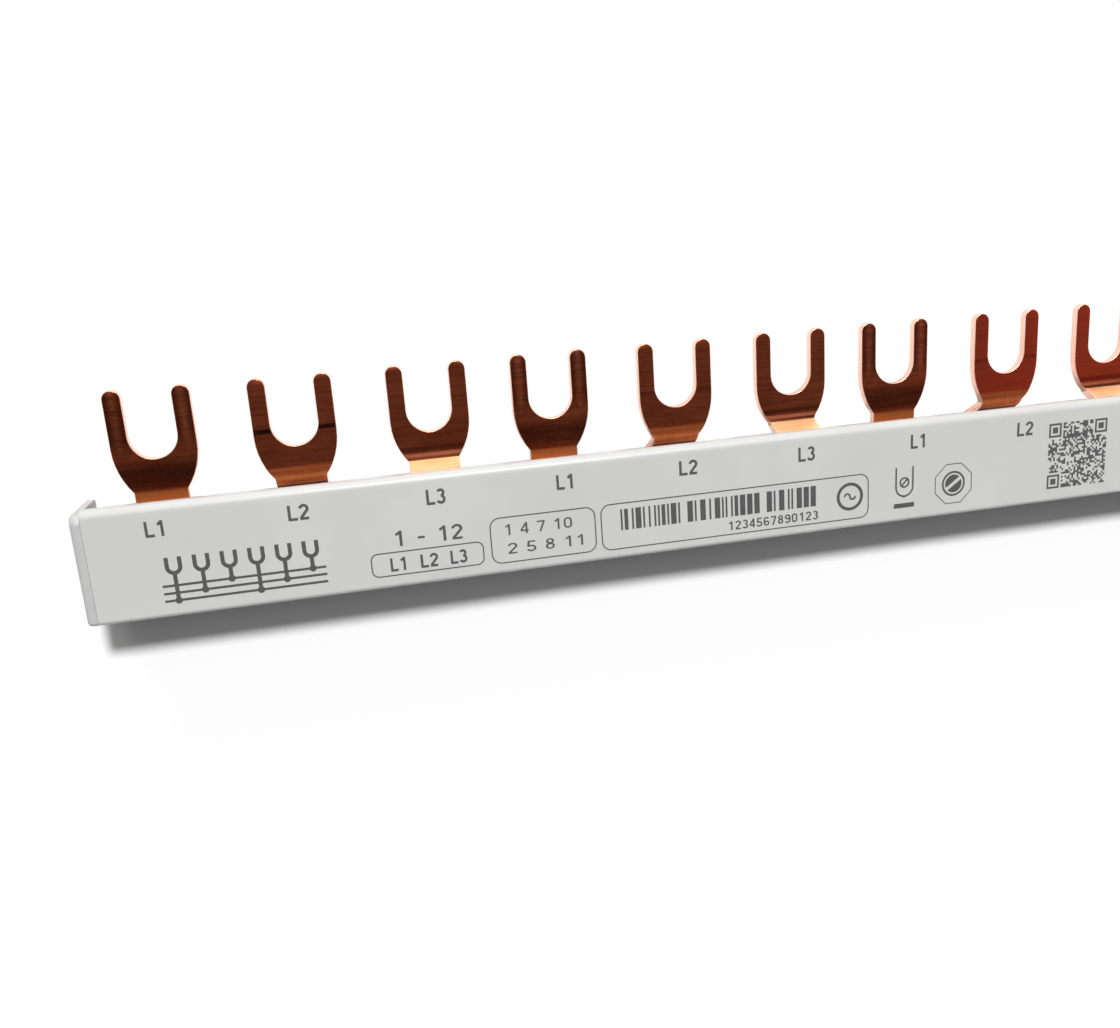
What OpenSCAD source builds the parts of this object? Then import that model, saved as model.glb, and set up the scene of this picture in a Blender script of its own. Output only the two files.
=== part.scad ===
// Comb busbar for modular devices: three stamped combs in one insulating profile.
// It lies on its back. X runs along the bar, Y towards the fork tips, Z out of the marked face.
// All lengths are in millimetres and all angles in degrees.

/* [Bar] */
// Number of forks along the bar, shared in turn by the three combs
ways = 12; // [6:3:24]
// Distance from one fork to the next, one module of the devices
pitch = 17.6; // [16.5:0.1:20]
// Housing beyond the centre of the first and the last fork
end_margin = 9.15; // [8:0.05:12]

/* [Housing] */
// Height of the marked front wall
front_wall_h = 15; // [13.5:0.1:18]
// Thickness of the front and the rear wall
outer_wall = 1.5; // [1.2:0.1:2]
// Thickness of the two partitions between the channels
partition = 1.5; // [1:0.1:1.8]
// Width of each channel
channel_w = 3; // [2.7:0.1:3.4]
// Height of the rear wall
rear_wall_h = 12.4; // [11:0.1:13]
// Thickness of the floor under the channels
floor_t = 1.5; // [1:0.1:2]
// Radius along the top outer edge of the marked face
brow_r = 1; // [0.4:0.1:1.3]
// Radius along the lower edges
heel_r = 0.6; // [0.3:0.1:1]

/* [Combs] */
// Thickness of the copper sheet
copper_t = 1.2; // [1:0.1:1.5]
// Height of the rail that joins the forks inside its channel
rail_h = 8.5; // [6:0.1:9]
// Angle through which a neck is bent to reach the common plane of the forks
bend_angle = 60; // [50:1:65]
// Radius on the inner side of each tight bend
bend_inner_r = 0.4; // [0.2:0.1:0.8]
// Radius on the inner side of the wide bend at the top of the rear comb's necks
rear_bend_inner_r = 2; // [0.4:0.1:2.2]
// Height at which the necks of the front comb start to bend
front_bend_y = 16.2; // [15.8:0.1:17]
// Height at which the necks of the rear comb start to bend
rear_bend_y = 16.7; // [16.4:0.1:17.2]
// Forks of the front comb in front of the middle of the profile
front_fork_rise = 0.43; // [0:0.01:1]
// Forks of the rear comb in front of the middle of the profile
rear_fork_rise = 0.9; // [0:0.01:1]
// Straight comb behind the middle of its channel
straight_comb_sag = 0.25; // [0:0.01:0.25]

/* [Forks] */
// Width across the two tines
fork_w = 10.75; // [10:0.05:12.5]
// Width of the slot for the terminal screw
slot_w = 6.17; // [5.2:0.01:7]
// Width of the neck under the fork
neck_w = 6.74; // [6:0.01:8]
// Height of the tips of the tines above the foot of the housing
tip_y = 28.7; // [27:0.1:33]
// Height of the bottom of the slot
slot_floor_y = 19.45; // [18.5:0.05:21]
// Height at which the fork reaches its full width
shoulder_y = 21.1; // [20.5:0.1:23]
// Height at which the fork narrows into the neck
neck_top_y = 15.15; // [14.8:0.05:16.5]
// The same height on the front comb, where the bend takes the blank up
front_neck_top_y = 15.5; // [15:0.05:16.5]

/* [End caps] */
// Thickness of the end plates
cap_t = 1.3; // [1:0.1:2]
// Step down from the top of the front wall to the top of an end plate
cap_drop = 0.45; // [0.2:0.05:1]
// Depth of the tall part of an end plate, from the marked face
cap_tall_d = 10; // [6:0.1:11.5]
// Radius of the front top corner of an end plate
cap_corner_r = 1.4; // [0.5:0.1:1.4]
// Length of the tongues that plug into the channels
tongue_l = 3.9; // [2:0.1:4]

/* [Hidden] */
$fn = 96;

phases = 3;
held_gap = 0.3;
tongue_gap = 0.15;
neck_clearance = 0.35;
seam = 0.01;
tip_r = 0.2;
bend_facets = 8;
rib_h = 0.8;
rib_root = 0.3;
rib_low_y = 3;
rib_high_y = 7.5;

channel_pitch = channel_w + partition;
housing_d = 2 * outer_wall + phases * channel_w + (phases - 1) * partition;
housing_l = (ways - 1) * pitch + 2 * end_margin;
end_play = 0.3;
comb_shift = [-0.3, 0.05, 0.27];
middle_z = housing_d / 2;

rail_top_y = floor_t + rail_h;
rail_l = housing_l - 2 * (tongue_l + held_gap + end_play);
neutral_r = bend_inner_r + copper_t / 2;
outer_r = bend_inner_r + copper_t;
front_joggle = channel_pitch - front_fork_rise;
rear_joggle = channel_pitch + rear_fork_rise;

tine_w = (fork_w - slot_w) / 2;
slot_centre_y = slot_floor_y + slot_w / 2;
shoulder_in = (fork_w - neck_w) / 2;

rib_t = (channel_w - copper_t) / 2 - held_gap;
tongue_t = channel_w - 2 * rib_t - 2 * tongue_gap;
tongue_h = rail_h - tongue_gap;

// Each partition stays under the slanted necks that cross it.
partition_far = channel_w / 2 + partition;
front_partition_h =
    slant_under_y(front_bend_y, bend_inner_r, partition_far - front_fork_rise) - neck_clearance;
rear_partition_h =
    slant_under_y(rear_bend_y, rear_bend_inner_r, partition_far + rear_fork_rise) - neck_clearance;
cap_h = front_wall_h - cap_drop;
cap_low_h = rear_wall_h;

function fork_x(i) = (i - (ways - 1) / 2) * pitch;

// Height that a joggle takes up, from its offset and the inner radius of its upper bend.
function joggle_h(joggle, upper_r) =
    let (both_r = upper_r + copper_t / 2 + neutral_r)
    both_r * sin(bend_angle) + (joggle - both_r * (1 - cos(bend_angle))) / tan(bend_angle);

// Height of the underside of a slanted neck at a distance from the plane of its forks.
function slant_under_y(bend_y, upper_r, off) =
    let (under_r = upper_r + copper_t)
    bend_y - under_r * sin(bend_angle)
    - (off - upper_r - copper_t / 2 + under_r * cos(bend_angle)) / tan(bend_angle);

// Sections are drawn with Y across and Z up, then run along the bar.
module along_bar(l) {
    rotate([90, 0, 90])
    translate([0, 0, -l / 2])
    linear_extrude(l)
    children();
}

// Trims a corner whose two edges run back along minus X and minus Y before the turn.
module round_off(at, r, turn) {
    translate(at)
    rotate(turn)
    difference() {
        translate([-r, -r]) square(r + 1);
        translate([-r, -r]) circle(r);
    }
}

module wall(z, t, h) {
    difference() {
        translate([0, z]) square([h, t]);
        round_off([h, z], tip_r, -90);
        round_off([h, z + t], tip_r, 0);
    }
}

module front_wall() {
    z = housing_d - outer_wall;
    difference() {
        translate([0, z]) square([front_wall_h, outer_wall]);
        round_off([front_wall_h, z], tip_r, -90);
        round_off([front_wall_h, housing_d], brow_r, 0);
    }
}

// Small ribs on both sides of a channel keep the rail upright.
module channel_ribs(z) {
    for (y = [rib_low_y, rib_high_y]) {
        translate([y, z - rib_root]) square([rib_h, rib_t + rib_root]);
        translate([y, z + channel_w - rib_t]) square([rib_h, rib_t + rib_root]);
    }
}

module housing_section() {
    difference() {
        union() {
            square([floor_t, housing_d]);
            wall(0, outer_wall, rear_wall_h);
            wall(outer_wall + channel_w, partition, rear_partition_h);
            wall(outer_wall + channel_w + channel_pitch, partition, front_partition_h);
            front_wall();
            for (k = [0 : phases - 1]) {
                channel_ribs(outer_wall + k * channel_pitch);
            }
        }
        round_off([0, 0], heel_r, 180);
        round_off([0, housing_d], heel_r, 90);
    }
}

module housing() {
    color("lightgray")
    translate([0, -tip_y / 2, 0])
    along_bar(housing_l) housing_section();
}

// One fork in the flat, centred on its screw.
module fork_blank(neck_top) {
    shoulder_h = shoulder_y - neck_top;
    shoulder_r = (pow(shoulder_in, 2) + pow(shoulder_h, 2)) / (2 * shoulder_in);
    difference() {
        union() {
            translate([-fork_w / 2, shoulder_y - seam])
            square([fork_w, tip_y - tine_w / 2 - shoulder_y + seam]);
            for (side = [-1, 1]) {
                translate([side * (fork_w - tine_w) / 2, tip_y - tine_w / 2])
                circle(d = tine_w);
            }
            intersection() {
                translate([fork_w / 2 - shoulder_r, shoulder_y]) circle(shoulder_r, $fn = 360);
                translate([shoulder_r - fork_w / 2, shoulder_y]) circle(shoulder_r, $fn = 360);
                translate([-fork_w / 2, neck_top]) square([fork_w, shoulder_h]);
            }
            translate([-neck_w / 2, rail_top_y - 1])
            square([neck_w, neck_top - rail_top_y + 2]);
        }
        translate([0, slot_centre_y]) circle(d = slot_w);
        translate([-slot_w / 2, slot_centre_y])
        square([slot_w, tip_y - slot_centre_y + 1]);
    }
}

module comb_outline(phase) {
    translate([-rail_l / 2, floor_t]) square([rail_l, rail_h]);
    for (i = [phase : phases : ways - 1]) {
        translate([fork_x(i), 0]) fork_blank(phase == 2 ? front_neck_top_y : neck_top_y);
    }
}

function arc(centre, r, from, to) = [
    for (k = [0 : bend_facets])
        let (a = from + (to - from) * k / bend_facets)
            centre + r * [cos(a), sin(a)]
];

// The sheet in section: fork, upper bend, slant, lower bend and rail, one side and then the other.
function joggled_sheet(bend_y, joggle, upper_r) =
    let (
        top = tip_y - bend_y,
        foot = floor_t - bend_y,
        half_t = copper_t / 2,
        upper = [0, upper_r + half_t],
        lower = [-joggle_h(joggle, upper_r), joggle - neutral_r]
    )
    concat(
        [[top, -half_t]],
        arc(upper, upper_r + copper_t, -90, -90 - bend_angle),
        arc(lower, bend_inner_r, 90 - bend_angle, 90),
        [[foot, joggle - half_t], [foot, joggle + half_t]],
        arc(lower, outer_r, 90, 90 - bend_angle),
        arc(upper, upper_r, -90 - bend_angle, -90),
        [[top, half_t]]
    );

module straight_section() {
    translate([floor_t, middle_z - straight_comb_sag - copper_t / 2])
    square([tip_y - floor_t, copper_t]);
}

module rear_section() {
    translate([rear_bend_y, middle_z + rear_fork_rise])
    mirror([0, 1])
    polygon(joggled_sheet(rear_bend_y, rear_joggle, rear_bend_inner_r));
}

module front_section() {
    translate([front_bend_y, middle_z + front_fork_rise])
    polygon(joggled_sheet(front_bend_y, front_joggle, bend_inner_r));
}

module comb_section(phase) {
    if (phase == 0) straight_section();
    if (phase == 1) rear_section();
    if (phase == 2) front_section();
}

module comb(phase) {
    translate([comb_shift[phase], -tip_y / 2, 0])
    intersection() {
        along_bar(housing_l) comb_section(phase);
        linear_extrude(housing_d) comb_outline(phase);
    }
}

module comb_l1() {
    color("peru") comb(0);
}

module comb_l2() {
    color("sandybrown") comb(1);
}

module comb_l3() {
    color("chocolate") comb(2);
}

module cap_section() {
    tall_z = housing_d - cap_tall_d;
    difference() {
        union() {
            square([cap_low_h, housing_d]);
            translate([0, tall_z]) square([cap_h, cap_tall_d]);
        }
        round_off([cap_h, housing_d], cap_corner_r, 0);
        round_off([cap_h, tall_z], cap_corner_r / 2, -90);
        round_off([cap_low_h, 0], heel_r, -90);
        round_off([0, 0], heel_r, 180);
        round_off([0, housing_d], heel_r, 90);
    }
}

// The left plate closes the end at minus X, and its tongues reach into the channels.
module end_cap() {
    plate_x = -(housing_l + cap_t) / 2;
    translate([0, -tip_y / 2, 0]) {
        translate([plate_x, 0, 0])
        along_bar(cap_t) cap_section();
        for (k = [0 : phases - 1]) {
            z = outer_wall + channel_w / 2 + k * channel_pitch;
            translate([-housing_l / 2 - seam, floor_t + tongue_gap, z - tongue_t / 2])
            cube([tongue_l + seam, tongue_h, tongue_t]);
        }
    }
}

module end_cap_left() {
    color("gray") end_cap();
}

module end_cap_right() {
    color("gray") mirror([1, 0, 0]) end_cap();
}

housing();
comb_l1();
comb_l2();
comb_l3();
end_cap_left();
end_cap_right();
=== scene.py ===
import math
import random
import bmesh
import bpy
from mathutils import Matrix, Vector


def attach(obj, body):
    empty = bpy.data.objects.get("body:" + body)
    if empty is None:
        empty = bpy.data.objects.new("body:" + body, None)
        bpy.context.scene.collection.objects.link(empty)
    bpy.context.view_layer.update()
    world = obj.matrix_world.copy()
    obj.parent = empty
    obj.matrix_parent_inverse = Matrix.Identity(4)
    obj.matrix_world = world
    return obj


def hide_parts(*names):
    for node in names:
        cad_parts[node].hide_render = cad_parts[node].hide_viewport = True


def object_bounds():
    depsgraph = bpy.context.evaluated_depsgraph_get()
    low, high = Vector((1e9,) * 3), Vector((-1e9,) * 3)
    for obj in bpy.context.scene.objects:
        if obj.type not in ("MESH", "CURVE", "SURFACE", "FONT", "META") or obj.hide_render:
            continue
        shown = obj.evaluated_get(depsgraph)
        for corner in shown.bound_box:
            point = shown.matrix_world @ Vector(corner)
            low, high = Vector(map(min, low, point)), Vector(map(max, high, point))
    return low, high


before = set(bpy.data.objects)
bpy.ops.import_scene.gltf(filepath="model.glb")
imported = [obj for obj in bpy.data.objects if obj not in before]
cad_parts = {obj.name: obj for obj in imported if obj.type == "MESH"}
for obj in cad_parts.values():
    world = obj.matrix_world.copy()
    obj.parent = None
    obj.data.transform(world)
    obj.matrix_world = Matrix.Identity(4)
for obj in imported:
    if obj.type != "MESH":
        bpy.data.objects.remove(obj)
cadLow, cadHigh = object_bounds()
print("frame loaded:", sorted(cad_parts))

mm = 0.001
faceHeight = cadHigh.z  # the marked face looks straight up
foot = cadLow.y


class Field:  # a socket that takes part in plain arithmetic
    def __init__(self, recipe, socket):
        self.recipe = recipe
        self.socket = socket

    def math(self, operation, *others):
        inputs = dict(enumerate((self,) + others))
        return self.recipe.node("ShaderNodeMath", dict(operation=operation), inputs)

    def __add__(self, other):
        return self.math("ADD", other)

    def __radd__(self, other):
        return self.math("ADD", other)

    def __sub__(self, other):
        return self.math("SUBTRACT", other)

    def __rsub__(self, other):
        return self.recipe.node("ShaderNodeMath", dict(operation="SUBTRACT"), {0: other, 1: self})

    def __mul__(self, other):
        return self.math("MULTIPLY", other)

    def __abs__(self):
        return self.math("ABSOLUTE")

    def ramp(self, low, high):  # 0 below low, 1 above high, smooth between
        inputs = {"Value": self, "From Min": low, "From Max": high}
        return self.recipe.node("ShaderNodeMapRange", dict(interpolation_type="SMOOTHSTEP"), inputs)

    def within(self, centre, half, soft):  # 1 in a band round centre
        return 1 - abs(self - centre).ramp(half - soft, half + soft)


class Recipe:  # the nodes of one material, or of the world
    def __init__(self, owner, place="Object"):
        owner.use_nodes = True
        self.owner = owner
        self.tree = owner.node_tree
        self.tree.nodes.clear()
        self.where = self.node("ShaderNodeTexCoord", output=place)

    def node(self, kind, settings=None, inputs=None, output=0):
        made = self.tree.nodes.new(kind)
        for key, value in (settings or {}).items():
            setattr(made, key, value)
        for key, value in (inputs or {}).items():
            if isinstance(value, Field):
                self.tree.links.new(value.socket, made.inputs[key])
            else:
                made.inputs[key].default_value = value
        return Field(self, made.outputs[output]) if len(made.outputs) else None

    def axes(self, place=None):
        split = self.node("ShaderNodeSeparateXYZ", inputs={0: place or self.where})
        outputs = split.socket.node.outputs
        return [Field(self, outputs[k]) for k in range(3)]

    def stretched(self, scale):  # object place with a scale along each axis, per metre
        return self.node("ShaderNodeMapping", inputs={"Vector": self.where, "Scale": scale})

    def noise(self, place, scale=1.0, detail=2.0, rough=0.5):
        inputs = {"Vector": place, "Scale": scale, "Detail": detail, "Roughness": rough}
        return self.node("ShaderNodeTexNoise", inputs=inputs)

    def blend(self, amount, low, high):
        settings = dict(data_type="RGBA", clamp_factor=True)
        return self.node("ShaderNodeMix", settings, {0: amount, 6: low, 7: high}, output=2)

    def bump(self, height, distance):
        inputs = {"Height": height, "Distance": distance, "Strength": 1}
        return self.node("ShaderNodeBump", inputs=inputs)

    def surface(self, **inputs):
        named = {key.replace("_", " "): value for key, value in inputs.items()}
        shader = self.node("ShaderNodeBsdfPrincipled", inputs=named)
        self.node("ShaderNodeOutputMaterial", inputs={"Surface": shader})
        return self.owner


def materialRecipe(name):
    return Recipe(bpy.data.materials.new(name))


def grey(level):
    return (level, level, level, 1)


plasticLook = dict(clouds=dict(scale=90, detail=3), cloudEdges=(0.3, 0.7), roughSpread=0.1,
                   lines=dict(detail=3, rough=0.6))

housingFinish = dict(
    colour=(0.63, 0.63, 0.626, 1),
    pale=(0.655, 0.655, 0.648, 1),
    roughness=0.38,
    drawLines=(60, 5200, 5200),  # die lines run along the bar
    lineDepth=0.004 * mm,
    edge=(0.73, 0.73, 0.72, 1),  # painted highlight where the face turns into the brow
    browHighlightBand=(14.05 * mm, 0.1 * mm, 0.5 * mm),  # middle height, half, softness
)


def plasticMaterial(name, finish):
    recipe = materialRecipe(name)
    clouds = recipe.noise(recipe.where, **plasticLook["clouds"])
    lines = recipe.noise(recipe.stretched(finish["drawLines"]), **plasticLook["lines"])
    colour = recipe.blend(clouds.ramp(*plasticLook["cloudEdges"]), finish["colour"], finish["pale"])
    # painted highlight along the top of the face, where it turns into the brow
    if "browHighlightBand" in finish:
        height = recipe.axes()[1] - foot
        colour = recipe.blend(height.within(*finish["browHighlightBand"]), colour, finish["edge"])
    rough = finish["roughness"] + (clouds - 0.5) * plasticLook["roughSpread"]
    normal = recipe.bump(lines, finish["lineDepth"])
    return recipe.surface(Base_Color=colour, Roughness=rough, Normal=normal)


capFinish = dict(
    colour=(0.56, 0.56, 0.56, 1),
    pale=(0.585, 0.585, 0.582, 1),
    roughness=0.42,
    drawLines=(1500, 1500, 1500),
    lineDepth=0.005 * mm,
)

inkFinish = dict(
    colour=(0.085, 0.085, 0.085, 1),
    worn=(0.11, 0.11, 0.11, 1),
    roughness=0.5,
    grains=dict(scale=2600, detail=2),
    grainEdges=(0.45, 0.75),
)


def inkMaterial():
    recipe = materialRecipe("printedInk")
    grains = recipe.noise(recipe.where, **inkFinish["grains"])
    worn = grains.ramp(*inkFinish["grainEdges"])
    colour = recipe.blend(worn, inkFinish["colour"], inkFinish["worn"])
    return recipe.surface(Base_Color=colour, Roughness=inkFinish["roughness"])


copperFinish = dict(
    film=(0.54, 0.12, 0.052, 1),  # rolled face under a thin brown film
    filmDark=(0.27, 0.056, 0.023, 1),
    stain=(0.07, 0.013, 0.006, 1),
    shade=(0.02, 0.004, 0.002, 1),
    redder=(0.74, 0.076, 0.034, 1),
    cut=(0.84, 0.56, 0.45, 1),  # bright sheared edge
    # painted shade for the crease of the third comb's bend
    creaseShade=(0.06, 0.012, 0.006, 1),
    # painted highlight for the fillet above the crease
    filletHighlight=(0.42, 0.15, 0.075, 1),
    rail=(0.78, 0.4, 0.26, 1),
    roughness=0.27,
    cutRoughness=0.42,
    filletRoughness=0.28,  # added to the face's
    roughSpread=0.06,
    clouds=dict(scale=150, detail=2),
    cloudEdges=(0.3, 0.7),
    cloudShare=0.45,
    mottle=dict(scale=900, detail=4, rough=0.65),
    mottleEdges=(0.45, 0.8),
    mottleShare=0.2,
    rollLines=(160, 3000, 3000),
    lines=dict(detail=3, rough=0.6),
    lineEdges=(0.38, 0.66),
    lineShare=0.7,
    lineShareRed=0.35,
    lineDepth=0.003 * mm,
    grainEdges=(0.4, 0.7),
    redSpan=(6 * mm, 28 * mm),
    redShare=0.92,
    filletHighlightShare=0.8,
    creaseShadeShare=0.95,
    flatFace=(0.75, 0.95),
    neckFace=(0.35, 0.6),
    # heights up from the bar's foot
    railSpan=(12.3 * mm, 12.9 * mm),
    bendSpan=(14.4 * mm, 16.4 * mm),
    upperSpan=(16.75 * mm, 16.95 * mm),
)
# the metal is worked below one height, where its colour is lighter partly as painted reflection (on the
# third comb a yellow painted highlight); the bands are middle height, half, softness
combFinish = dict(
    one=dict(
        below=15.25 * mm,
        soft=0.3 * mm,
        workedAndSheen=(0.95, 0.3, 0.09, 1),
        workedRoughness=0.32,
        shade=(17.0 * mm, 1.7 * mm, 1.2 * mm),
        shadeDepth=0.65,
        firstFork=-97.1 * mm,
        grain=(2500, 2500, 2500),
        grainShare=0.15,
    ),
    two=dict(
        below=16.6 * mm,
        soft=0.3 * mm,
        workedAndSheen=(1, 0.36, 0.13, 1),
        upper=(0.6, 0.17, 0.055, 1),
        workedRoughness=0.48,
        shade=(13.75 * mm, 0.32 * mm, 0.15 * mm),
        shadeDepth=0.9,
        press=21.7 * mm,
        grain=(6000, 300, 300),
        grainShare=0.3,
    ),
    three=dict(
        below=15.86 * mm,
        soft=0.05 * mm,
        workedAndSheen=(1, 0.7, 0.37, 1),
        workedRoughness=0.42,
        shade=(17.15 * mm, 0.3 * mm, 0.2 * mm),
        shadeDepth=0.5,
        filletHighlight=(16.28 * mm, 0.3 * mm, 0.15 * mm),
        creaseShade=(15.93 * mm, 0.2 * mm, 0.05 * mm),
        grain=(200, 4000, 4000),
        grainShare=0.3,
    ),
)
# a line that the press left across the forks, fainter to the right
pressLine = dict(half=0.3 * mm, soft=0.12 * mm, shade=0.9, faint=0.4, fade=(-72 * mm, -50 * mm),
                 mottle=(0.2, 0.5), colour=grey(0.01))
# short marks in a row up the middle of each tine; reach is half the way to the next like fork
tickLook = dict(offset=4.23 * mm, core=0.1 * mm, half=0.3 * mm, edge=0.8 * mm, reach=26.4 * mm,
                pitch=(300, 5200, 300), beat=(0.42, 0.62), rise=(20 * mm, 21 * mm), share=0.45,
                colour=(0.62, 0.27, 0.16, 1), rolled=(20.5 * mm, 22.5 * mm), rolledShare=0.6)


def addTicks(recipe, colour, x, height, firstFork):  # marks with darker rolled metal beside them
    across = abs((x - firstFork).math("WRAP", tickLook["reach"], -tickLook["reach"]))
    aside = abs(across - tickLook["offset"])
    rolled = aside.ramp(tickLook["half"], tickLook["edge"]) * height.ramp(*tickLook["rolled"])
    colour = recipe.blend(rolled * tickLook["rolledShare"], colour, copperFinish["stain"])
    beat = recipe.noise(recipe.stretched(tickLook["pitch"]), detail=1)
    tick = (1 - aside.ramp(tickLook["core"], tickLook["half"])) * beat.ramp(*tickLook["beat"])
    tick = tick * height.ramp(*tickLook["rise"])
    return recipe.blend(tick * tickLook["share"], colour, tickLook["colour"])


def addPressLine(recipe, colour, x, height, middle, mottle):
    band = height.within(middle, pressLine["half"], pressLine["soft"])
    fade = x.ramp(*pressLine["fade"])
    depth = pressLine["shade"] + fade * (pressLine["faint"] - pressLine["shade"])
    dark = band * depth * mottle.ramp(*pressLine["mottle"])
    return recipe.blend(dark, colour, pressLine["colour"])


def copperMaterial(name, finish):  # film, worked bends lightened partly by painted reflection, painted shade and highlight bands, bright cut edges
    look = copperFinish
    recipe = materialRecipe(name)
    x, y = recipe.axes()[:2]
    height = y - foot
    normal = recipe.node("ShaderNodeNewGeometry", output="Normal")
    alongBar, upward = recipe.axes(normal)[::2]
    # the flat face of a fork looks up, that of a bent neck has no part along the bar
    flatFace = abs(upward).ramp(*look["flatFace"])
    neckFace = 1 - abs(alongBar).ramp(*look["neckFace"])
    face = neckFace + height.ramp(*look["upperSpan"]) * (flatFace - neckFace)
    clouds = recipe.noise(recipe.where, **look["clouds"])
    mottle = recipe.noise(recipe.where, **look["mottle"])
    lines = recipe.noise(recipe.stretched(look["rollLines"]), **look["lines"])
    red = x.ramp(*look["redSpan"])
    cloudy = clouds.ramp(*look["cloudEdges"]) * look["cloudShare"]
    mottled = mottle.ramp(*look["mottleEdges"]) * look["mottleShare"]
    lined = lines.ramp(*look["lineEdges"]) * (look["lineShare"] - red * look["lineShareRed"])
    colour = recipe.blend(cloudy, look["film"], look["filmDark"])
    colour = recipe.blend(mottled, colour, look["filmDark"])
    colour = recipe.blend(red * look["redShare"], colour, look["redder"])
    colour = recipe.blend(lined, colour, look["filmDark"])
    if "firstFork" in finish:
        colour = addTicks(recipe, colour, x, height, finish["firstFork"])
    if "press" in finish:
        colour = addPressLine(recipe, colour, x, height, finish["press"], mottle)
    # painted highlight: a lighter band on the fillet above the crease
    if "filletHighlight" in finish:
        filletHighlight = height.within(*finish["filletHighlight"])
        colour = recipe.blend(filletHighlight * look["filletHighlightShare"], colour, look["filletHighlight"])
    # worked metal below this height, its colour lighter partly as painted reflection
    workedAndSheen = 1 - height.ramp(finish["below"] - finish["soft"], finish["below"] + finish["soft"])
    grain = recipe.noise(recipe.stretched(finish["grain"]))
    # painted shade: the second comb's neck darker toward the top of its bend, lighter below
    upper = finish.get("upper", finish["workedAndSheen"])
    bendSheenAndShade = recipe.blend(height.ramp(*look["bendSpan"]), finish["workedAndSheen"], upper)
    grained = grain.ramp(*look["grainEdges"]) * finish["grainShare"]
    colour = recipe.blend(workedAndSheen, colour, recipe.blend(grained, bendSheenAndShade, look["film"]))
    colour = recipe.blend(1 - height.ramp(*look["railSpan"]), colour, look["rail"])
    shade = height.within(*finish["shade"]) * finish["shadeDepth"]
    colour = recipe.blend(shade, colour, look["shade"])
    # painted shade: a dark line in the crease of the bend
    if "creaseShade" in finish:
        creaseShade = height.within(*finish["creaseShade"]) * look["creaseShadeShare"]
        colour = recipe.blend(creaseShade, colour, look["creaseShade"])
    colour = recipe.blend(face, look["cut"], colour)
    rough = look["roughness"] + workedAndSheen * (finish["workedRoughness"] - look["roughness"])
    rough = look["cutRoughness"] + face * (rough - look["cutRoughness"])
    if "filletHighlight" in finish:
        rough = rough + filletHighlight * look["filletRoughness"]
    rough = rough + (mottle - 0.5) * look["roughSpread"]
    rolled = recipe.bump(lines, look["lineDepth"])
    return recipe.surface(Base_Color=colour, Metallic=1.0, Roughness=rough, Normal=rolled)


def finished(name, mesh, material):  # a mesh as a piece of the resting bar
    piece = bpy.data.objects.new(name, mesh)
    bpy.context.scene.collection.objects.link(piece)
    mesh.materials.clear()
    mesh.materials.append(material)
    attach(piece, "root")
    return piece


rounding = dict(same=1e-6, flat=math.radians(0.4), weld=0.05 * mm, sharp=math.radians(35),
                crisp=math.radians(40), segments=3, endSegments=4)


def bevelSharp(shape, radius, segments, chosen):
    limit = rounding["sharp"]
    edges = [e for e in shape.edges if e.is_manifold and e.calc_face_angle() > limit and chosen(e)]
    bmesh.ops.bevel(shape, geom=edges, offset=radius, offset_type="OFFSET", segments=segments,
                    affect="EDGES", profile=0.5, material=-1, clamp_overlap=False)


def softened(node, name, material, radius, ends=None):  # rounded copy of a frame node
    shape = bmesh.new()
    shape.from_mesh(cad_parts[node].data)
    bmesh.ops.remove_doubles(shape, verts=shape.verts, dist=rounding["same"])
    bmesh.ops.dissolve_limit(shape, angle_limit=rounding["flat"], verts=shape.verts, edges=shape.edges)
    bmesh.ops.remove_doubles(shape, verts=shape.verts, dist=rounding["weld"])
    if ends:  # wider rounds on the edges of the outer face
        outside = cadHigh.x - ends / 2
        atEnd = lambda e: min(abs(v.co.x) for v in e.verts) > outside
        bevelSharp(shape, ends, rounding["endSegments"], atEnd)
    bevelSharp(shape, radius, rounding["segments"], lambda e: True)
    large = [f for f in shape.faces if len(f.verts) > 4]
    bmesh.ops.triangulate(shape, faces=large)
    mesh = bpy.data.meshes.new(name)
    shape.to_mesh(mesh)
    shape.free()
    mesh.shade_smooth()
    mesh.set_sharp_from_angle(angle=rounding["crisp"])
    piece = finished(name, mesh, material)
    even = piece.modifiers.new("evenNormals", "WEIGHTED_NORMAL")
    even.keep_sharp = True
    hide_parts(node)


edgeRound = dict(housing=0.12 * mm, copper=0.12 * mm, cap=0.1 * mm, capEnd=0.6 * mm)
housingMaterial = plasticMaterial("greyHousing", housingFinish)
softened("housing", "plasticHousing", housingMaterial, edgeRound["housing"])
capMaterial = plasticMaterial("greyCap", capFinish)
for side in ("left", "right"):
    softened("end_cap_" + side, side + "EndCap", capMaterial, edgeRound["cap"],
             ends=edgeRound["capEnd"])
for number, (word, finish) in enumerate(combFinish.items(), start=1):
    material = copperMaterial("copper" + word.title(), finish)
    phase = str(number)
    softened("comb_l" + phase, "copperComb" + phase, material, edgeRound["copper"])
print("pieces made")

ink = inkMaterial()
inkLift = 0.01 * mm  # above the face
inkLayer = 0.0004 * mm  # from one stroke to the next
letterLook = dict(step=0.74, weight=0.18, arcSteps=12)


def merge(shape, other, place=(0, 0), lift=0):  # adds one drawing to another
    bmesh.ops.translate(other, verts=other.verts, vec=(place[0], place[1], lift))
    scrap = bpy.data.meshes.new("scrap")
    other.to_mesh(scrap)
    other.free()
    shape.from_mesh(scrap)
    bpy.data.meshes.remove(scrap)


def turned(drawing, angle):
    turn = Matrix.Rotation(angle, 3, "Z")
    bmesh.ops.rotate(drawing, cent=(0, 0, 0), matrix=turn, verts=drawing.verts)
    return drawing


def lay(shape, stroke, place):  # adds a stroke just above those before
    top = max((v.co.z for v in shape.verts), default=0)
    merge(shape, stroke, place, top + inkLayer)


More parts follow.
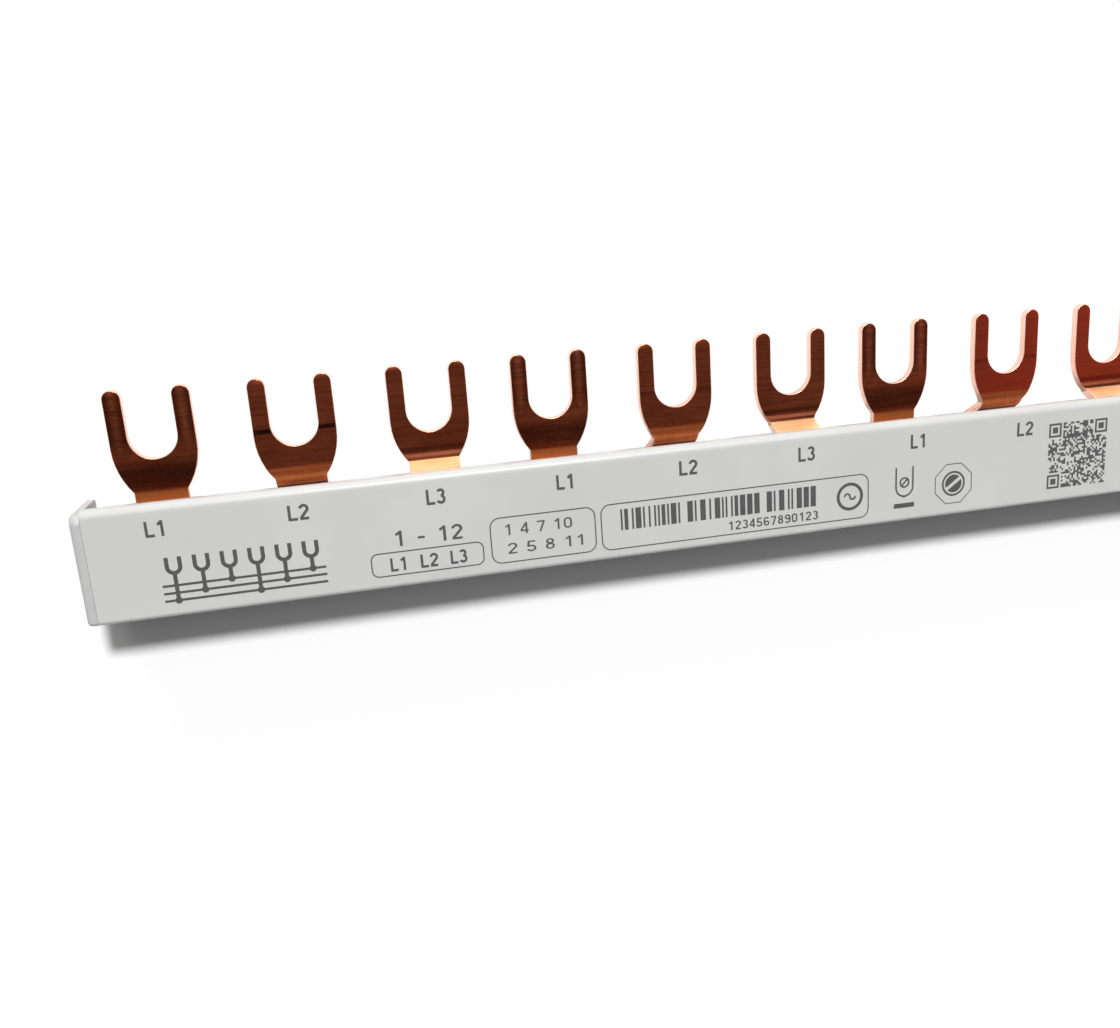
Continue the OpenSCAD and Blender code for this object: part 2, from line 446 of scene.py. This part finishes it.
def inkLine(shape, start, end, width):
    run = Vector(end) - Vector(start)
    line = bmesh.new()
    bmesh.ops.create_grid(line, x_segments=1, y_segments=1, size=0.5)
    bmesh.ops.scale(line, vec=(run.length, width, 1), verts=line.verts)
    turned(line, math.atan2(run.y, run.x))
    lay(shape, line, (Vector(start) + Vector(end)) / 2)


def inkArc(shape, centre, radius, start, sweep, width, steps=14):
    arc = bmesh.new()
    ends = [arc.verts.new((r, 0, 0)) for r in (radius - width / 2, radius + width / 2)]
    nib = [*ends, arc.edges.new(ends)]
    turned(arc, math.radians(start))
    bmesh.ops.spin(arc, geom=nib, cent=(0, 0, 0), axis=(0, 0, 1), angle=math.radians(sweep),
                   steps=steps, use_merge=abs(sweep) == 360)
    lay(shape, arc, centre)


def inkDisc(shape, centre, radius):
    disc = bmesh.new()
    bmesh.ops.create_circle(disc, cap_ends=True, radius=radius, segments=24)
    lay(shape, disc, centre)


def inkBlock(shape, low, high):
    middle = (low[1] + high[1]) / 2
    inkLine(shape, (low[0], middle), (high[0], middle), high[1] - low[1])


def inkFrame(shape, low, high, corner, width):  # outline with round corners
    left, right = low[0] + corner, high[0] - corner
    bottom, top = low[1] + corner, high[1] - corner
    for x in (low[0], high[0]):
        inkLine(shape, (x, bottom), (x, top), width)
    for y in (low[1], high[1]):
        inkLine(shape, (left, y), (right, y), width)
    for quarter, centre in enumerate(((right, top), (left, top), (left, bottom), (right, bottom))):
        inkArc(shape, centre, corner, quarter * 90, 90, width, steps=6)


# each character in a box one high: lines from point to point, arcs as centre, radius, start, sweep
characters = {
    "L": dict(lines=[(0.08, 0, 0.08, 1), (0.08, 0.075, 0.56, 0.075)], step=0.66),
    "0": dict(lines=[(0.08, 0.3, 0.08, 0.7), (0.52, 0.3, 0.52, 0.7)],
              arcs=[(0.3, 0.7, 0.22, 0, 180), (0.3, 0.3, 0.22, 180, 180)]),
    "1": dict(lines=[(0.38, 0, 0.38, 1), (0.37, 0.93, 0.13, 0.74)]),
    "2": dict(lines=[(0.475, 0.59, 0.08, 0.1), (0.03, 0.075, 0.57, 0.075)],
              arcs=[(0.3, 0.705, 0.22, 172, -206)]),
    "3": dict(arcs=[(0.29, 0.735, 0.19, 155, -245), (0.29, 0.3, 0.225, 90, -250)]),
    "4": dict(lines=[(0.43, 0, 0.43, 1), (0.43, 0.97, 0.06, 0.33), (0.02, 0.28, 0.58, 0.28)]),
    "5": dict(lines=[(0.15, 0.925, 0.54, 0.925), (0.15, 0.98, 0.1, 0.46)],
              arcs=[(0.29, 0.31, 0.235, 135, -295)]),
    "6": dict(lines=[(0.08, 0.3, 0.08, 0.7)],
              arcs=[(0.3, 0.3, 0.22, 0, 360), (0.3, 0.7, 0.22, 180, -155)]),
    "7": dict(lines=[(0.03, 0.925, 0.57, 0.925), (0.52, 0.9, 0.22, 0)]),
    "8": dict(arcs=[(0.3, 0.74, 0.185, 0, 360), (0.3, 0.29, 0.215, 0, 360)]),
    "9": dict(lines=[(0.52, 0.3, 0.52, 0.7)],
              arcs=[(0.3, 0.7, 0.22, 0, 360), (0.3, 0.3, 0.22, 0, -155)]),
    "-": dict(lines=[(0.12, 0.42, 0.48, 0.42)]),
    " ": dict(step=0.4),
}


def inkText(shape, words, low, high, weight=letterLook["weight"]):  # fills the box from low to high
    line = bmesh.new()
    pen = 0
    for letter in words:
        form = characters[letter]
        for x1, y1, x2, y2 in form.get("lines", ()):
            inkLine(line, (pen + x1, y1), (pen + x2, y2), weight)
        for x, y, radius, start, sweep in form.get("arcs", ()):
            inkArc(line, (pen + x, y), radius, start, sweep, weight, steps=letterLook["arcSteps"])
        pen += form.get("step", letterLook["step"])
    sides = [v.co.x for v in line.verts]
    across = (high[0] - low[0]) / (max(sides) - min(sides))
    bmesh.ops.translate(line, verts=line.verts, vec=(-min(sides), 0, 0))
    bmesh.ops.scale(line, vec=(across, high[1] - low[1], 1), verts=line.verts)
    merge(shape, line, low)


def inkPiece(name, draw):  # one printed mark, laid on the face
    shape = bmesh.new()
    draw(shape)
    bmesh.ops.scale(shape, vec=(mm, mm, 1), verts=shape.verts)
    bmesh.ops.translate(shape, verts=shape.verts, vec=(0, 0, faceHeight + inkLift))
    for face in shape.faces:
        face.normal_update()
    bmesh.ops.reverse_faces(shape, faces=[f for f in shape.faces if f.normal.z < 0])
    mesh = bpy.data.meshes.new(name)
    shape.to_mesh(mesh)
    shape.free()
    finished(name, mesh, ink)


# all marks are drawn in millimetres
phaseMarks = dict(base=-3.6, height=2.05, nudges=(-0.65, -0.6, -0.5), widths=(2.26, 2.7, 2.55),
                  pitch=17.6, count=12)


def drawPhases(shape):  # one label at each fork
    for k in range(phaseMarks["count"]):
        middle = (k - (phaseMarks["count"] - 1) / 2) * phaseMarks["pitch"] + phaseMarks["nudges"][k % 3]
        half = phaseMarks["widths"][k % 3] / 2
        low = (middle - half, phaseMarks["base"])
        high = (middle + half, phaseMarks["base"] + phaseMarks["height"])
        inkText(shape, "L" + str(k % 3 + 1), low, high)


wiring = dict(left=-97.6, step=3.4, forks=6, lines=(-12.2, -11.2, -10.2), crown=-7.75, top=-6.45,
              radius=0.8, stroke=0.52, thinner=0.62, dot=0.46)


def drawWiring(shape):  # three conductors with a fork tapped from each in turn
    left, crown, radius, stroke = (wiring[k] for k in ("left", "crown", "radius", "stroke"))
    right = left + wiring["step"] * wiring["forks"]
    for y in wiring["lines"]:
        inkLine(shape, (left, y), (right, y), stroke * wiring["thinner"])
    for k in range(wiring["forks"]):
        x = left + (k + 0.5) * wiring["step"]
        base = wiring["lines"][k % 3]
        inkDisc(shape, (x, base), wiring["dot"])
        inkLine(shape, (x, base), (x, crown - radius), stroke)
        inkArc(shape, (x, crown), radius, 180, 180, stroke)
        for tine in (x - radius, x + radius):
            inkLine(shape, (tine, crown), (tine, wiring["top"]), stroke)


phaseBox = dict(
    outline=dict(low=(-71.4, -12.6), high=(-56.45, -9.45), corner=0.9, width=0.165),
    foot=-12.05,
    top=-10.2,
    spans=dict(L1=(-68.95, -66.95), L2=(-64.95, -62.6), L3=(-60.95, -58.7)),
)


def drawPhaseBox(shape):  # the three phases in a frame
    inkFrame(shape, **phaseBox["outline"])
    for words, (left, right) in phaseBox["spans"].items():
        inkText(shape, words, (left, phaseBox["foot"]), (right, phaseBox["top"]))


wayRange = dict(words="1 - 12", low=(-68.0, -8.7), high=(-59.0, -6.6), weight=0.15)


def drawWays(shape):  # the range of positions
    inkText(shape, **wayRange)


wayBox = dict(
    outline=dict(low=(-55.3, -12.83), high=(-40.75, -6.52), corner=1.3, width=0.165),
    first=dict(words="1 4 7 10", low=(-53.3, -9.05), high=(-44.0, -7.5), weight=0.13),
    second=dict(words="2 5 8 11", low=(-53.1, -11.7), high=(-42.6, -10.15), weight=0.13),
)


def drawWayBox(shape):  # the positions of two phases in a frame
    inkFrame(shape, **wayBox["outline"])
    inkText(shape, **wayBox["first"])
    inkText(shape, **wayBox["second"])


barsBox = dict(
    outline=dict(low=(-39.87, -12.95), high=(0.3, -6.5), corner=1.3, width=0.165),
    seed=7,
    start=-37.1,
    end=-7.7,
    foot=-10.35,
    top=-7.35,
    module=0.27,
    stripes=(1, 1, 1, 2, 3, 3),
    gaps=(1, 1, 1, 1, 2, 2, 4),
    digits=dict(words="1234567890123", low=(-21.3, -12.35), high=(-7.6, -11.05), weight=0.16),
)


def drawBarsBox(shape):  # stripes of chance widths
    inkFrame(shape, **barsBox["outline"])
    chance = random.Random(barsBox["seed"])
    x = barsBox["start"]
    while x < barsBox["end"]:
        wide = chance.choice(barsBox["stripes"]) * barsBox["module"]
        inkBlock(shape, (x, barsBox["foot"]), (min(x + wide, barsBox["end"]), barsBox["top"]))
        x += wide + chance.choice(barsBox["gaps"]) * barsBox["module"]
    inkText(shape, **barsBox["digits"])


waveMark = dict(centre=(-2.6, -9.6), radius=1.85, stroke=0.46, wave=0.42, waveStroke=0.28)


def drawWave(shape):  # a ring round one wave
    x, y = waveMark["centre"]
    wave = waveMark["wave"]
    inkArc(shape, (x, y), waveMark["radius"], 0, 360, waveMark["stroke"], steps=40)
    for side, start in ((-1, 0), (1, 180)):
        inkArc(shape, (x + side * wave, y), wave, start, 180, waveMark["waveStroke"])


forkMark = dict(x=6.1, crown=-9.2, radius=1.35, top=-6.2, stroke=0.26, neck=-10.75,
                screwRise=0.7, screwRadius=0.68, slotReach=0.42, bar=((4.42, -12.3), (7.7, -11.6)))


def drawFork(shape):  # a fork round its screw, above a bar
    x, crown, radius, stroke = (forkMark[k] for k in ("x", "crown", "radius", "stroke"))
    inkArc(shape, (x, crown), radius, 180, 180, stroke, steps=20)
    for tine in (x - radius, x + radius):
        inkLine(shape, (tine, crown), (tine, forkMark["top"]), stroke)
    inkLine(shape, (x, crown - radius), (x, forkMark["neck"]), stroke * 2)
    screw, slot = crown + forkMark["screwRise"], forkMark["slotReach"]
    inkArc(shape, (x, screw), forkMark["screwRadius"], 0, 360, stroke, steps=24)
    inkLine(shape, (x - slot, screw - slot), (x + slot, screw + slot), stroke)
    inkBlock(shape, *forkMark["bar"])


screwMark = dict(centre=(14.1, -9.56), corners=8, across=3.28, line=0.143, ring=1.75, ringStroke=0.3,
                 head=1.35, slot=0.5, lean=math.radians(35))


def drawScrew(shape):  # a slotted head in an eight-sided frame
    outline = bmesh.new()
    for radius in (screwMark["across"], screwMark["across"] - screwMark["line"]):
        bmesh.ops.create_circle(outline, radius=radius, segments=screwMark["corners"])
    bmesh.ops.bridge_loops(outline, edges=outline.edges)
    merge(shape, turned(outline, math.pi / screwMark["corners"]), screwMark["centre"])
    inkArc(shape, screwMark["centre"], screwMark["ring"], 0, 360, screwMark["ringStroke"], steps=32)
    for side in (0, math.pi):  # half a head on each side of the slot
        half = bmesh.new()
        bmesh.ops.create_circle(half, cap_ends=True, radius=screwMark["head"], segments=32)
        every = half.verts[:] + half.edges[:] + half.faces[:]
        bmesh.ops.bisect_plane(half, geom=every, plane_co=(0, -screwMark["slot"] / 2, 0),
                               plane_no=(0, 1, 0), clear_outer=True)
        merge(shape, turned(half, side + screwMark["lean"]), screwMark["centre"])


cellMark = dict(low=(29.9, -12.3), size=10.0, cells=33, seed=23, corner=7, share=0.53, rings=(0, 1, 3))


def drawCells(shape):  # a square of chance cells with three plain corner squares
    cells, corner = cellMark["cells"], cellMark["corner"]
    cell, half = cellMark["size"] / cells, cellMark["size"] / 2
    grid = bmesh.new()
    bmesh.ops.create_grid(grid, x_segments=cells, y_segments=cells, size=half)
    spots = {}
    for face in grid.faces:
        middle = face.calc_center_median()
        spots[int(middle.y / cell + cells / 2), int(middle.x / cell + cells / 2)] = face
    chance = random.Random(cellMark["seed"])
    spare = []
    for row, column in sorted(spots):
        atSide = column < corner + 1 or column > cells - corner - 2
        atEnd = row < corner + 1 or row > cells - corner - 2
        empty = chance.random() > cellMark["share"]
        if atSide and atEnd and not (column > corner and row <= corner):
            across = min(column, cells - 1 - column) - corner // 2
            along = min(row, cells - 1 - row) - corner // 2
            empty = max(abs(across), abs(along)) not in cellMark["rings"]
        if empty:
            spare.append(spots[row, column])
    bmesh.ops.delete(grid, geom=spare, context="FACES")
    x, y = cellMark["low"]
    merge(shape, grid, (x + half, y + half))


marks = dict(phaseMarks=drawPhases, wiringMark=drawWiring, phaseBox=drawPhaseBox, wayNumbers=drawWays,
             wayBox=drawWayBox, stripeBox=drawBarsBox, waveMark=drawWave, forkMark=drawFork,
             screwMark=drawScrew, cellMark=drawCells)
for markName, drawMark in marks.items():
    inkPiece(markName, drawMark)
print("marks printed:", len(marks))

stageLook = dict(reach=3, floor=1.3, scattered=0.4, seen=1.1, white=1.0, fade=(-2 * mm, 6 * mm))


def makeFloor():  # paper, plain white to the camera past the bar's foot
    shape = bmesh.new()
    bmesh.ops.create_grid(shape, x_segments=1, y_segments=1, size=stageLook["reach"])
    mesh = bpy.data.meshes.new("floor")
    shape.to_mesh(mesh)
    shape.free()
    floor = bpy.data.objects.new("floor", mesh)
    bpy.context.scene.collection.objects.link(floor)
    recipe = materialRecipe("paleFloor")
    seen = recipe.node("ShaderNodeLightPath", output="Is Camera Ray")
    clear = (recipe.axes()[1] - foot).ramp(*stageLook["fade"]) * seen
    scattered = recipe.node("ShaderNodeLightPath", output="Is Diffuse Ray")
    tone = recipe.blend(scattered, grey(stageLook["floor"]), grey(stageLook["scattered"]))
    tone = recipe.blend(seen, tone, grey(stageLook["seen"]))
    paper = recipe.node("ShaderNodeBsdfDiffuse", inputs={"Color": tone})
    white = recipe.node("ShaderNodeEmission", inputs={"Color": grey(stageLook["white"])})
    mixed = recipe.node("ShaderNodeMixShader", inputs={0: clear, 1: paper, 2: white})
    recipe.node("ShaderNodeOutputMaterial", inputs={"Surface": mixed})
    mesh.materials.append(recipe.owner)


makeFloor()

lampLook = dict(
    key=dict(start=(1.9, 9.2, 15.0), strength=2.65, angle=6.5, colour=(1, 1, 1)),
    rear=dict(start=(0.0, 10.0, 2.6), strength=1.0, angle=38, colour=(1, 0.985, 0.95)),
)
# what scattered light meets, then what the metal mirrors
roomLook = dict(ambient=0.044, ceiling=0.92, towards=(0, 0.4, 0.917), ceilingEdge=(0.86, 0.98),
                horizon=1.0, zenith=0.132, fall=(0.1, 0.85), side=0.08, sideEdge=(0.3, 0.6))


def makeLamp(name, look):  # a far light that shines from its start
    lamp = bpy.data.lights.new(name, "SUN")
    lamp.energy = look["strength"]
    lamp.angle = math.radians(look["angle"])
    lamp.color = look["colour"]
    holder = bpy.data.objects.new(name, lamp)
    holder.rotation_euler = Vector(look["start"]).to_track_quat("Z", "Y").to_euler()
    bpy.context.scene.collection.objects.link(holder)


for lampName, look in lampLook.items():
    makeLamp(lampName, look)


def makeWorld():
    world = bpy.data.worlds.new("studio")
    bpy.context.scene.world = world
    recipe = Recipe(world, place="Generated")
    x, z = recipe.axes()[::2]
    inputs = {0: recipe.where, 1: roomLook["towards"]}
    above = recipe.node("ShaderNodeVectorMath", dict(operation="DOT_PRODUCT"), inputs, output="Value")
    glossy = recipe.node("ShaderNodeLightPath", output="Is Glossy Ray")
    scattered = recipe.node("ShaderNodeLightPath", output="Diffuse Depth")
    seen = recipe.node("ShaderNodeLightPath", output="Is Camera Ray")
    soft = roomLook["ambient"] + above.ramp(*roomLook["ceilingEdge"]) * roomLook["ceiling"]
    fall = z.ramp(*roomLook["fall"])
    mirrored = roomLook["horizon"] + fall * (roomLook["zenith"] - roomLook["horizon"])
    mirrored = mirrored + x.ramp(*roomLook["sideEdge"]) * roomLook["side"]
    unscattered = 1 - scattered.ramp(0.4, 0.6)  # 1 at no bounce, 0 from the first
    room = soft + glossy * unscattered * (mirrored - soft)
    level = room + seen * (1 - room)  # plain white behind the object
    light = recipe.node("ShaderNodeBackground", inputs={"Color": grey(1), "Strength": level})
    recipe.node("ShaderNodeOutputWorld", inputs={"Surface": light})


makeWorld()

view = dict(
    place=(-72.26 * mm, 26.67 * mm, 145.7 * mm),
    ahead=(0.19392, -0.2445, -0.95006),
    upward=(0.11808, 0.96722, -0.22482),
    lens=32.48,
    sensor=36,
    near=0.01,
    far=20,
)


def makeCamera():
    data = bpy.data.cameras.new("camera")
    data.lens = view["lens"]
    data.sensor_width = view["sensor"]
    data.clip_start = view["near"]
    data.clip_end = view["far"]
    camera = bpy.data.objects.new("camera", data)
    back = -Vector(view["ahead"]).normalized()
    right = Vector(view["upward"]).cross(back).normalized()
    turn = Matrix((right, back.cross(right), back)).transposed().to_4x4()
    camera.matrix_world = Matrix.Translation(view["place"]) @ turn
    bpy.context.scene.collection.objects.link(camera)
    bpy.context.scene.camera = camera


makeCamera()
bpy.context.scene.view_settings.view_transform = "Standard"

print("scene ready")
